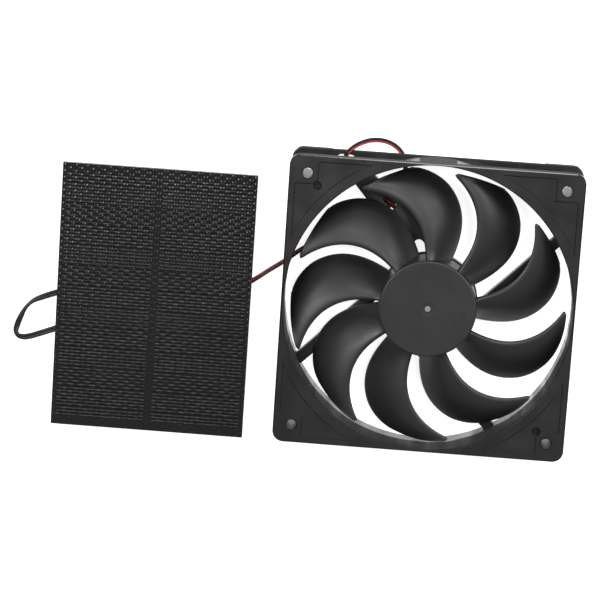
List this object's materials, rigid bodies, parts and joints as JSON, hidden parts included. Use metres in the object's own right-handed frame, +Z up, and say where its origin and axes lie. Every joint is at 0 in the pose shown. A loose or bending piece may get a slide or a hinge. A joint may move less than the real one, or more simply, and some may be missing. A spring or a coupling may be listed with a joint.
{
  "type": "solar attic fan",
  "caption": "Square axial ventilation fan with a sickle-bladed rotor in an open-flanged frame, wired to a small flat solar panel laid beside it.",
  "frame": {"origin": "bottom centre of the box round the fan and the panel, on the surface they lie on; the loose leads are not counted", "axes": "+X from the panel towards the fan, +Y towards the fan's edge where its leads come out, +Z up, along the fan's shaft towards its rotor side"},
  "size_m": [0.2318, 0.1305, 0.025],
  "materials": {
    "frame_plastic": "satin moulded, fine texture",
    "impeller_plastic": "satin moulded, smooth",
    "label_film": "satin blank foil",
    "bearing_brass": "turned",
    "bearing_steel": "ground",
    "core_steel": "stacked laminations",
    "bobbin_plastic": "moulded",
    "copper_winding": "enamelled copper wire",
    "board_green": "solder mask",
    "chip_plastic": "moulded",
    "yoke_steel": "plated",
    "magnet_rubber": "bonded ferrite",
    "spring_steel": "drawn wire",
    "backboard_laminate": "satin laminate",
    "encapsulant_resin": "clear over dark",
    "front_sheet_plastic": "embossed film",
    "solar_cell": "textured silicon",
    "tinned_ribbon": "tinned",
    "hot_glue": "hot-melt glue",
    "wire_red": "pvc insulation",
    "wire_black": "pvc insulation",
    "cable_black": "pvc insulation",
    "heat_shrink": "shrunk sleeve"
  },
  "bodies": {
    "root": {"fan_frame": "frame_plastic", "rear_label": "label_film", "bearing_tube": "bearing_brass", "upper_bearing": "bearing_steel", "lower_bearing": "bearing_steel", "stator_core": "core_steel", "bobbin_upper": "bobbin_plastic", "bobbin_lower": "bobbin_plastic", "coil_1": "copper_winding", "coil_2": "copper_winding", "coil_3": "copper_winding", "coil_4": "copper_winding", "circuit_board": "board_green", "hall_sensor": "chip_plastic", "driver_chip": "chip_plastic", "backboard": "backboard_laminate", "encapsulant": "encapsulant_resin", "front_sheet": "front_sheet_plastic", "cell_01": "solar_cell", "cell_02": "solar_cell", "cell_03": "solar_cell", "cell_04": "solar_cell", "cell_05": "solar_cell", "cell_06": "solar_cell", "cell_07": "solar_cell", "cell_08": "solar_cell", "cell_09": "solar_cell", "cell_10": "solar_cell", "cell_11": "solar_cell", "cell_12": "solar_cell", "cell_13": "solar_cell", "cell_14": "solar_cell", "cell_15": "solar_cell", "cell_16": "solar_cell", "cell_17": "solar_cell", "cell_18": "solar_cell", "cell_19": "solar_cell", "cell_20": "solar_cell", "cell_21": "solar_cell", "cell_22": "solar_cell", "cell_23": "solar_cell", "cell_24": "solar_cell", "ribbon_top": "tinned_ribbon", "ribbon_pos": "tinned_ribbon", "ribbon_neg": "tinned_ribbon", "glue_blob": "hot_glue", "lead_red_inner": "wire_red", "lead_red": "wire_red", "lead_black_inner": "wire_black", "lead_black": "wire_black", "panel_lead": "cable_black", "splice_red": "heat_shrink", "splice_black": "heat_shrink"},
    "rotor": {"impeller": "impeller_plastic", "rotor_yoke": "yoke_steel", "rotor_magnet": "magnet_rubber", "rotor_shaft": "bearing_steel", "preload_spring": "spring_steel", "retaining_ring": "spring_steel"}
  },
  "joints": [
    {"name": "rotor_spin", "type": "hinge", "parent": "root", "child": "rotor", "pos_m": [0.04725, 0.00243, 0.0125], "axis": [0, 0, 1], "continuous": true}
  ]
}
